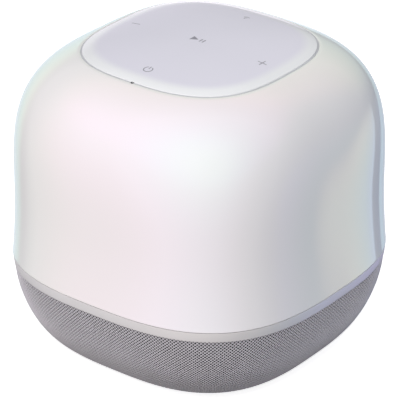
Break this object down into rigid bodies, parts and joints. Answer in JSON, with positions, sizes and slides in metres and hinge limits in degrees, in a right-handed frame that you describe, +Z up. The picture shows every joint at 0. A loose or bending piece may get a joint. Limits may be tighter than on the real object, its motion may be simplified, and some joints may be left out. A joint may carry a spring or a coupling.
{
  "type": "smart speaker",
  "caption": "Rounded-square smart speaker: glossy white dome with a flush touch panel, silver trim ring and grey cloth-wrapped speaker base.",
  "frame": {"origin": "centre of the footprint on the floor, under the middle of the foot ring", "axes": "+Z up, -Y towards the user (the front), +X to the right"},
  "size_m": [0.16, 0.16, 0.15],
  "materials": {
    "pearl_plastic": "polished pearl white",
    "panel_plastic": "polished lavender grey",
    "silver_trim": "satin silver paint",
    "grille_fabric": "woven grey mesh",
    "black_plastic": "fine moulded texture",
    "grey_plastic": "fine moulded texture",
    "foot_rubber": "matte",
    "seal_rubber": "matte",
    "steel": "zinc plated",
    "ferrite": "sintered",
    "cone_paper": "pressed pulp",
    "copper_wire": "enamelled",
    "spider_cloth": "resin-dipped weave",
    "circuit_board": "solder mask",
    "ribbon_film": "polyimide film"
  },
  "bodies": {
    "root": {"dome_shell": "pearl_plastic", "top_panel": "panel_plastic", "panel_seal_ring": "seal_rubber", "mic_port": "black_plastic", "microphone": "steel", "trim_ring": "silver_trim", "grille_cloth": "grille_fabric", "grille_frame": "black_plastic", "base_plate": "grey_plastic", "foot_ring": "foot_rubber", "deflector_cone": "black_plastic", "port_bezel": "black_plastic", "dc_jack": "black_plastic", "setup_switch": "black_plastic", "port_board": "circuit_board", "driver_baffle": "black_plastic", "enclosure_gasket": "foot_rubber", "enclosure_shell": "grey_plastic", "bass_port": "black_plastic", "woofer_gasket": "foot_rubber", "woofer_basket": "steel", "woofer_surround": "foot_rubber", "woofer_spider": "spider_cloth", "woofer_top_plate": "steel", "woofer_magnet": "ferrite", "woofer_yoke": "steel", "electronics_tray": "grey_plastic", "main_board": "circuit_board", "radio_shield": "steel", "amplifier_heatsink": "steel", "filter_capacitor_1": "black_plastic", "filter_capacitor_2": "black_plastic", "touch_board": "circuit_board", "touch_ribbon": "ribbon_film", "power_lead": "black_plastic", "woofer_lead": "copper_wire", "base_screw_1": "steel", "shell_screw_1": "steel", "base_screw_2": "steel", "shell_screw_2": "steel", "base_screw_3": "steel", "shell_screw_3": "steel", "base_screw_4": "steel", "shell_screw_4": "steel", "tweeter_left_housing": "black_plastic", "tweeter_left_magnet": "ferrite", "antenna_left": "circuit_board", "tweeter_right_housing": "black_plastic", "tweeter_right_magnet": "ferrite", "antenna_right": "circuit_board"},
    "woofer_diaphragm": {"woofer_cone": "cone_paper", "woofer_dust_cap": "cone_paper", "woofer_voice_coil": "copper_wire"},
    "tweeter_left_diaphragm": {"tweeter_left_dome": "spider_cloth"},
    "tweeter_right_diaphragm": {"tweeter_right_dome": "spider_cloth"},
    "setup_button": {"setup_button": "grey_plastic"}
  },
  "joints": [
    {"name": "woofer_stroke", "type": "slide", "parent": "root", "child": "woofer_diaphragm", "axis": [0, 0, -1], "range_m": [-0.004, 0.004], "stiffness_N_per_m": 1500, "deforming": ["woofer_surround", "woofer_spider"]},
    {"name": "tweeter_left_stroke", "type": "slide", "parent": "root", "child": "tweeter_left_diaphragm", "axis": [-1, 0, 0], "range_m": [-0.00025, 0.00025], "stiffness_N_per_m": 1000},
    {"name": "tweeter_right_stroke", "type": "slide", "parent": "root", "child": "tweeter_right_diaphragm", "axis": [1, 0, 0], "range_m": [-0.00025, 0.00025], "stiffness_N_per_m": 1000},
    {"name": "setup_button_press", "type": "slide", "parent": "root", "child": "setup_button", "axis": [0, -1, 0], "range_m": [0, 0.0005], "stiffness_N_per_m": 800}
  ]
}
